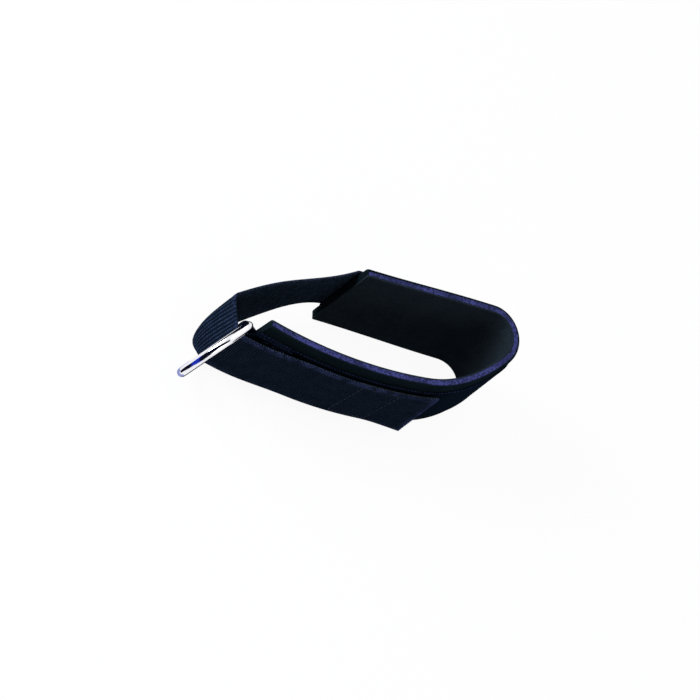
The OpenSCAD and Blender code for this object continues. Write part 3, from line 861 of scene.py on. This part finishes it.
def edgeLine(side, z):
    # lap on the cuff, cubic curve, crease, straight run, turn round the eye, start of the tail;
    # the last two columns are how far the crease bows out and how much the strap is strained
    spec = strap[side]
    leave, far, near = np.radians([spec["leave"], spec["far"], spec["near"]])
    lapSteps = np.linspace(cuffLength - strap["lap"], cuffLength - strap["lapEnd"], 60)
    lapPoint, lapHeading, lapLean = cuffPath(lapSteps)
    offset = (bandAt + (z - midHeight) * lapLean)[:, None]
    endPoint, endHeading, endLean = cuffPath(cuffLength)
    first = endPoint + outward(endHeading) * (bandAt + (z - midHeight) * endLean)
    runEnd = barPoint + wrapRadius * outward(near) - spec["run"] * along(near)
    centre = runEnd - strap["crease"] * outward(near)
    fold = centre + strap["crease"] * outward(far)
    b, c = first + strap["leaveReach"] * along(leave), fold - strap["arriveReach"] * along(far)
    f = np.linspace(0, 1, 200, endpoint=False)
    t = f[:, None]
    curve = first * (1 - t) ** 3 + 3 * b * t * (1 - t) ** 2 + 3 * c * t ** 2 * (1 - t) + fold * t ** 3
    curve = curve - spec["ripple"] * np.sin(2 * np.pi * t) * outward(far)
    way = unit((b - first) * (1 - t) ** 2 + 2 * (c - b) * t * (1 - t) + (fold - c) * t ** 2)
    turn = np.linspace(0, 1, 40)
    bend, wrap = far + (near - far) * turn, near + (startHeading - near) * turn
    run = np.linspace(0, 1, 30)[1:-1]
    tailSteps = np.linspace(-ring["ahead"], tail["joint"], 20)[1:]
    tailPoint, tailHeading, _ = cuffPath(tailSteps)
    line = [lapPoint + outward(lapHeading) * offset, curve, centre + strap["crease"] * outward(bend),
            runEnd + spec["run"] * run[:, None] * along(near), barPoint + wrapRadius * outward(wrap),
            tailPoint + outward(tailHeading) * tailLift(tailSteps)[:, None]]
    normal = [outward(lapHeading), np.stack([way[:, 1], -way[:, 0]], axis=1), outward(bend),
              np.tile(outward(near), (len(run), 1)), outward(wrap), outward(tailHeading)]
    rise = ease((f - strap["bowFrom"]) / (1 - strap["bowFrom"]))
    bow = [0 * lapSteps, rise, 0 * turn + 1, 1 - ease(run), 0 * turn, 0 * tailSteps]
    strain = [0 * lapSteps, 0 * f, ease(turn * 1.5), 0 * run + 1, 1 - ease(turn), 0 * tailSteps]
    return np.hstack([np.concatenate(line), np.concatenate(normal),
                      np.concatenate(bow)[:, None], np.concatenate(strain)[:, None]])


def smoothRows(values, width):
    # running mean along the path, with the ends held
    kernel = np.hanning(2 * width + 3)[1:-1]
    kernel /= kernel.sum()
    held = np.pad(values, ((width, width), (0, 0)), mode="edge")
    return np.stack([np.convolve(column, kernel, mode="valid") for column in held.T], axis=1)


def strapRuling():
    # both edges at even steps along the middle line
    low, high = edgeLine("low", webLow), edgeLine("high", webHigh)
    length = lengthAlong((low[:, :2] + high[:, :2]) / 2)
    fine = np.linspace(0, length[-1], int(length[-1] / strap["step"]))
    even = [resampled(edge, length, fine) for edge in (low, high)]
    for edge in even:
        edge[:, 2:] = smoothRows(edge[:, 2:], 5)
    return fine, even


def makeElasticStrap():
    # ruled between its edges, and pushed out by bow * sin(pi f^bowPower) across its width at the crease
    u, (low, high) = strapRuling()
    outline = webOutline(web["strap"])
    z = outline[1]
    f = (z - webLow) / web["width"]
    mixed = low[:, None] + (high - low)[:, None] * f[None, :, None]
    line, normal, bow, strain = mixed[..., :2], mixed[..., 2:4], mixed[..., 4], mixed[..., 5]
    drift = softNoise((len(u), len(z)), 24, 22) * ribs["drift"]
    place = u[:, None] + drift - ribs["skew"] * strain * (z - midHeight) / web["width"]
    depth = ribs["strap"] + (ribs["strained"] - ribs["strap"]) * strain
    n = ribbed(outline, web["strap"], place, elasticLook["pitch"], depth)
    columns = np.linspace(0, 1, 12)
    fine = np.linspace(0, 1, 33)
    slack = resampled(softNoise((len(u), 12), 60, 21).T, columns, fine)
    wave = resampled(slack, fine, f).T * strap["slack"]
    push = strap["bow"] * bow * np.sin(np.pi * np.clip(f, 0, 1) ** strap["bowPower"])
    bowWay = outward(np.radians(strap["bowHeading"]))
    flat = line + unit(normal) * (n + wave)[..., None] + push[..., None] * bowWay
    piece = tubeMesh("elasticStrap", withHeight(flat, z), place, outline[2], materials["elastic"])
    # the strained share, which the elastic's material also paints paler: partly painted light on the
    # lit turn
    addAttribute(piece, "paler", strain)
    markOuter(piece, outline, web["strap"], len(u))
    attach(piece, "cuff")
    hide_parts("elastic_strap")
    return u[-1]


def makeTail(uStart):
    # the strap goes on past the ring
    s = np.linspace(tail["joint"], tail["end"], int((tail["end"] - tail["joint"]) / strap["step"]))
    u = uStart + s - s[0]
    outline = webOutline(web["strap"])
    n = ribbed(outline, web["strap"], u[:, None], elasticLook["pitch"], ribs["strap"])
    grid = onCuff(s[:, None], n + tailOffset(s[:, None], outline[1]), outline[1])
    piece = tubeMesh("closureTail", grid, u, outline[2], materials["elastic"])
    sealed = np.exp(-(tail["end"] - s) / tail["seal"])
    addAttribute(piece, "sealed", np.broadcast_to(sealed[:, None], n.shape))
    markOuter(piece, outline, web["strap"], len(u))
    start = onCuff(tail["joint"] - 0.05, tailLift(tail["joint"]), midHeight) * mm
    end = onCuff(tail["bendEnd"], tailLift(tail["bendEnd"]), midHeight) * mm
    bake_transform(piece)
    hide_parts("closure_tail")


makeBaseBand()
makeRingTab()
strapLength = makeElasticStrap()
makeTail(strapLength)
print("webbing is woven, strap length", round(float(strapLength), 1), "mm")


# hook and loop
def smallTubes(name, lines, radii, sideways, material, sides):
    # lines (copies, steps, 3), radii (steps), sideways (copies, 3): a thin closed tube along every line
    copies, steps = lines.shape[:2]
    tangent = unit(np.gradient(lines, axis=1))
    across = unit(np.cross(tangent, sideways[:, None, :]))
    third = np.cross(tangent, across)
    angle = np.arange(sides) * 2 * np.pi / sides
    around = across[:, :, None] * np.cos(angle)[:, None] + third[:, :, None] * np.sin(angle)[:, None]
    points = (lines[:, :, None] + around * radii[:, None, None]).reshape(copies, steps * sides, 3)
    i, j = np.meshgrid(np.arange(steps - 1), np.arange(sides), indexing="ij")
    here, beside = i * sides + j, i * sides + (j + 1) % sides
    quads = np.stack([here, beside, beside + sides, here + sides], -1).reshape(-1, 4)
    caps = np.stack([np.arange(sides)[::-1], (steps - 1) * sides + np.arange(sides)])
    if signedVolume(points[0], quads) < 0:
        quads, caps = quads[:, ::-1], caps[:, ::-1]
    first = np.arange(copies)[:, None, None] * steps * sides
    faces = (first + quads).reshape(-1, 4).tolist() + (first + caps).reshape(-1, sides).tolist()
    places = np.stack(np.meshgrid(np.linspace(0, 1, steps), angle, indexing="ij"), -1).reshape(-1, 2)
    corners = [np.tile(places[part].reshape(-1, 2), (copies, 1)) for part in (quads, caps)]
    corners = np.concatenate(corners)
    return meshObject(name, points.reshape(-1, 3), faces, corners, material)


def frameOn(s, offset, z):
    # point, direction along the path, direction up and outward normal on a surface beside the cuff
    def spot(s, z):
        return onCuff(s, offset(s, z), z)

    near = 0.05
    ahead = unit(spot(s + near, z) - spot(s - near, z))
    up = unit(spot(s, z + near) - spot(s, z - near))
    out = unit(np.cross(up, ahead))
    sign = np.sign(np.sum(out[..., :2] * outward(cuffPath(s)[1]), axis=-1))
    return spot(s, z), ahead, up, out * sign[..., None]


def evenly(n):
    # an offset that is the same everywhere
    return lambda s, z: 0 * s + n


patch = {
    "inset": 0.3, "rowInset": 0.9, "rowEnd": 0.7, "base": 0.14, "sink": 0.02,
    "hookPitch": 0.85, "hookRadius": 0.055, "hookBend": 0.34, "hookHigh": 0.24, "hookDip": 0.16,
    "loopPitch": 0.75, "loopRadius": 0.035, "loopHigh": 0.14, "loopReach": 0.2, "loopTip": 0.01,
    "loopJitter": 0.25, "loopLean": 0.05, "fuzz": 0.05,
}


def patchOutline(columns):
    # the outline of a thin strip, set in from the webbing's edges
    return stripOutline(webLow + patch["inset"], webHigh - patch["inset"], patch["base"], columns, 3)


def patchRows(s, start, end, pitch):
    # an even grid of places on a patch, and the height of its lowest row
    gridS = np.arange(s[0] + start, s[-1] - end, pitch)
    gridZ = np.arange(webLow + patch["rowInset"], webHigh - patch["rowEnd"], pitch)
    rowS, rowZ = np.meshgrid(gridS, gridZ, indexing="ij")
    return rowS.ravel(), rowZ.ravel(), gridZ[0]


def makeHookPatch():
    # a moulded strip under the tail's end, and on it rows of small bent hooks
    s = np.linspace(tail["end"] - tail["hookLength"], tail["end"] - patch["inset"], 120)
    n, z, v = patchOutline(41)
    n = n - patch["base"] + patch["sink"] + tailOffset(s[:, None], z)
    strip = layerPiece("hookPatch", s, n, z, v, materials["hooks"])
    rowS, rowZ, lowest = patchRows(s, 0.6, 0.3, patch["hookPitch"])
    point, ahead, up, out = frameOn(rowS, lambda s, z: tailOffset(s, z) - patch["base"] + 0.03, rowZ)
    flip = np.where(np.round((rowZ - lowest) / patch["hookPitch"]) % 2 < 1, 1.0, -1.0)[:, None]
    steps = np.linspace(0, 1, 6)
    bend = np.maximum(steps - 0.45, 0.0) * patch["hookBend"]
    rise = np.minimum(steps, 0.8) * patch["hookHigh"] - np.maximum(steps - 0.8, 0) * patch["hookDip"]
    lines = point[:, None] - out[:, None] * rise[:, None] + (ahead * flip)[:, None] * bend[:, None]
    radii = patch["hookRadius"] * np.array([1.3, 1.1, 1.0, 0.95, 0.9, 0.05])
    hooks = smallTubes("hookRows", lines, radii, up, materials["hooks"], 4)
    for piece in (strip, hooks):
        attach(piece, "tail")
    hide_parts("hook_patch")


def makeLoopPatch():
    # a knitted strip on the base band, and on it small loops leaning every way
    s = np.linspace(tail["loopStart"], tail["loopStart"] + tail["loopLength"], 300)
    n, z, v = patchOutline(61)
    fuzz = np.abs(softNoise((len(s), len(n)), 3, 31)) * patch["fuzz"]
    face = (n > patch["base"] * 0.9)[None, :]
    strip = layerPiece("loopPatch", s, n + bandAt + 0.01 + fuzz * face, z, v, materials["pile"])
    random = np.random.RandomState(32)
    rowS, rowZ = patchRows(s, 0.5, 0.4, patch["loopPitch"])[:2]
    jitter, lean = patch["loopJitter"], patch["loopLean"]
    rowS = rowS + random.uniform(-jitter, jitter, rowS.shape)
    rowZ = rowZ + random.uniform(-jitter, jitter, rowZ.shape)
    point, ahead, up, out = frameOn(rowS, evenly(bandAt + patch["base"] - patch["sink"]), rowZ)
    spin = random.uniform(0, np.pi, rowS.shape)[:, None]
    way = ahead * np.cos(spin) + up * np.sin(spin)
    side = np.cross(way, out)
    swing = np.linspace(-0.1, np.pi + 0.1, 6)
    size = random.uniform(0.75, 1.0, rowS.shape)[:, None, None]
    lean = random.uniform(-lean, lean, rowS.shape)[:, None, None]
    high = np.sin(swing)[:, None] * patch["loopHigh"]
    wide = np.cos(swing)[:, None] * patch["loopReach"]
    lines = (point[:, None] + way[:, None] * wide * size + out[:, None] * high * size
             + side[:, None] * lean * np.maximum(high, 0) * 6)
    radii = np.full(6, patch["loopRadius"])
    radii[[0, -1]] = patch["loopTip"]
    loops = smallTubes("loopPile", lines, radii, side, materials["pile"], 3)
    for piece in (strip, loops):
        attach(piece, "cuff")
    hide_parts("loop_patch")


makeHookPatch()
makeLoopPatch()
print("hook and loop are in place")

# seams: where each rectangle of stitches starts and ends along the cuff
stitch = {
    "length": 1.55, "gap": 0.5, "radius": 0.14, "height": 0.2, "sink": 0.12, "inset": 1.25,
    "hook": (30.1, 40.5), "join": (cuffLength - 13.0, cuffLength - 2.0), "tab": (1.3, 7.7),
    "strapDip": 0.05, "tabDip": 0.1,
}


def rowOfStitches(start, end, offset):
    # start and end are (s, z): centres, directions and normals of evenly spaced stitches
    start, end = np.array(start, float), np.array(end, float)
    total = np.linalg.norm(end - start)
    count = max(int(round(total / (stitch["length"] + stitch["gap"]))), 1)
    middle = (np.arange(count) + 0.5) / count
    s, z = (start[k] + (end[k] - start[k]) * middle for k in (0, 1))
    point, ahead, up, out = frameOn(s, offset, z)
    course = (end - start) / total
    way = unit(ahead * course[0] + up * course[1])
    return point, way, out, np.full(count, total / count - stitch["gap"])


def makeSeam(name, node, body, reach, offset, cross=False):
    # a rectangle of stitches, each a short arch of thread that dips into the cloth at both ends
    a, b, c, d = [(s, z) for s in reach for z in (webLow + stitch["inset"], webHigh - stitch["inset"])]
    rows = [(a, b), (c, d), (a, c), (b, d)]
    if cross:
        rows += [(a, d), (b, c)]
    parts = [rowOfStitches(start, end, offset) for start, end in rows]
    point, way, out, length = (np.concatenate([p[k] for p in parts]) for k in range(4))
    steps = np.linspace(-0.5, 0.5, 7)
    arch = np.clip(1 - (2 * np.abs(steps)) ** 4, 0, 1) * stitch["height"] - stitch["sink"]
    lines = (point[:, None] + way[:, None] * (steps[:, None] * length[:, None, None])
             + out[:, None] * arch[:, None])
    radii = stitch["radius"] * np.array([0.35, 0.95, 1.0, 1.0, 1.0, 0.95, 0.35])
    piece = smallTubes(name, lines, radii, np.cross(way, out), materials["thread"], 6)
    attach(piece, body)
    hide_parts(node)


makeSeam("hookSeam", "hook_seam", "tail", stitch["hook"],
         lambda s, z: tailOffset(s, z) + web["strap"] - stitch["strapDip"])
makeSeam("joinSeam", "join_seam", "cuff", stitch["join"],
         evenly(bandAt + web["strap"] - stitch["strapDip"]), cross=True)
makeSeam("tabSeam", "tab_seam", "cuff", stitch["tab"],
         evenly(bandAt + 2 * web["tab"] - stitch["tabDip"]), cross=True)
print("seams are sewn")


# D-ring
def ringLine():
    # bar, corner, bow and corner, as a closed line in the ring's own plane (out from the bar, up)
    half = web["width"] / 2 + ring["play"] + wireRadius
    corner = ring["corner"]
    bar = np.linspace(-half + corner, half - corner, 60)[:-1]
    line = [np.stack([0 * bar, bar], 1)]
    # centre, radius, first and last angle in quarters, and steps of each arc
    for x, z, radius, start, end, steps in ((corner, half - corner, corner, 2, 1, 20),
                                            (ring["depth"] - wireRadius - half, 0, half, 1, -1, 160),
                                            (corner, -half + corner, corner, -1, -2, 20)):
        angle = np.linspace(start, end, steps)[:-1] * np.pi / 2
        line.append(np.stack([x + radius * np.cos(angle), z + radius * np.sin(angle)], 1))
    return np.concatenate(line)


def makeRing():
    # round wire swept along the closed line, with a low weld bead in the middle of the bar
    line = ringLine()
    heading = np.radians(ring["heading"])
    plane = np.array([[*along(heading), 0.0], [0.0, 0.0, 1.0]])
    side = -np.array([*outward(heading), 0.0])
    tangent = unit(np.roll(line, -1, axis=0) - np.roll(line, 1, axis=0))
    inward = np.stack([-tangent[:, 1], tangent[:, 0]], 1)
    angle = np.linspace(0, 2 * np.pi, 49)
    bead = ring["bead"] * np.exp(-(line[:, 1] / ring["beadWide"]) ** 2) * (line[:, 0] < 0.1)
    centre = np.array([*barPoint, midHeight]) + line @ plane
    across = (inward @ plane)[:, None]
    around = np.cos(angle[:-1])[:, None] * across + np.sin(angle[:-1])[:, None] * side
    grid = centre[:, None] + (wireRadius + bead)[:, None, None] * around
    length = lengthAlong(np.concatenate([line, line[:1]]))
    piece = tubeMesh("dRing", grid, length, angle * wireRadius, materials["ring"], closed=True)
    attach(piece, "ring")
    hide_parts("d_ring")


makeRing()
print("D-ring is bent")

# snap stud and its rivet
stud = {
    "back": 25.0,  # how far it sits from the cuff's back end
    "flange": 5.0, "boss": 3.2, "neck": 1.75, "head": 2.0,  # radii
    "seat": 0.08, "flangeThick": 0.5, "bossHigh": 0.5, "neckHigh": 0.9, "headHigh": 1.5,
}


def roundedProfile(corners, radii, steps=5):
    # straight runs between corners (r, h), each corner replaced by a short arc of the given radius
    points = [np.array(corners[0], float)]
    for before, here, after, radius in zip(corners[:-2], corners[1:-1], corners[2:], radii):
        before, here, after = (np.array(p, float) for p in (before, here, after))
        a = here + unit(before - here) * radius
        b = here + unit(after - here) * radius
        f = np.linspace(0, 1, steps)[:, None]
        points.extend(a * (1 - f) ** 2 + 2 * here * f * (1 - f) + b * f ** 2)
    points.append(np.array(corners[-1], float))
    return np.array(points)


def makeStud():
    # a turned profile: flange, boss, neck and a rounded head with a shallow dimple
    flange, boss, neck, head = (stud[key] for key in ("flange", "boss", "neck", "head"))
    base, flangeTop, bossTop, neckTop, top = np.cumsum(
        [stud[key] for key in ("seat", "flangeThick", "bossHigh", "neckHigh", "headHigh")])
    corners = [(0.02, base), (flange, base), (flange, flangeTop), (boss + 0.4, flangeTop),
               (boss, bossTop), (neck + 0.3, bossTop), (neck, bossTop + 0.35), (neck, neckTop - 0.1),
               (head, neckTop + 0.25), (head, top - 0.45), (head - 0.6, top), (0.9, top),
               (0.5, top - 0.25), (0.02, top - 0.28)]
    radii = [0.12, 0.2, 0.25, 0.2, 0.12, 0.12, 0.15, 0.15, 0.3, 0.3, 0.12, 0.12]
    profile = roundedProfile(corners, radii)
    s = cuffLength - stud["back"]
    heading, lean = cuffPath(s)[1:]
    seat = onCuff(s, bandAt, midHeight)
    axis = unit(np.array([*outward(heading), -lean]))
    side = np.array([*along(heading), 0.0])
    angle = np.linspace(0, 2 * np.pi, 97)
    around = np.cos(angle[:-1])[:, None] * side + np.sin(angle[:-1])[:, None] * np.cross(axis, side)
    grid = seat + profile[:, None, 1:] * axis + profile[:, None, :1] * around
    piece = tubeMesh("snapStud", grid, lengthAlong(profile), angle * 2, materials["stud"])
    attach(piece, "cuff")
    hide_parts("snap_stud")


makeStud()
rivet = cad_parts["stud_rivet"]
rivet.data.materials.clear()
rivet.data.materials.append(materials["stud"])
print("stud is set")
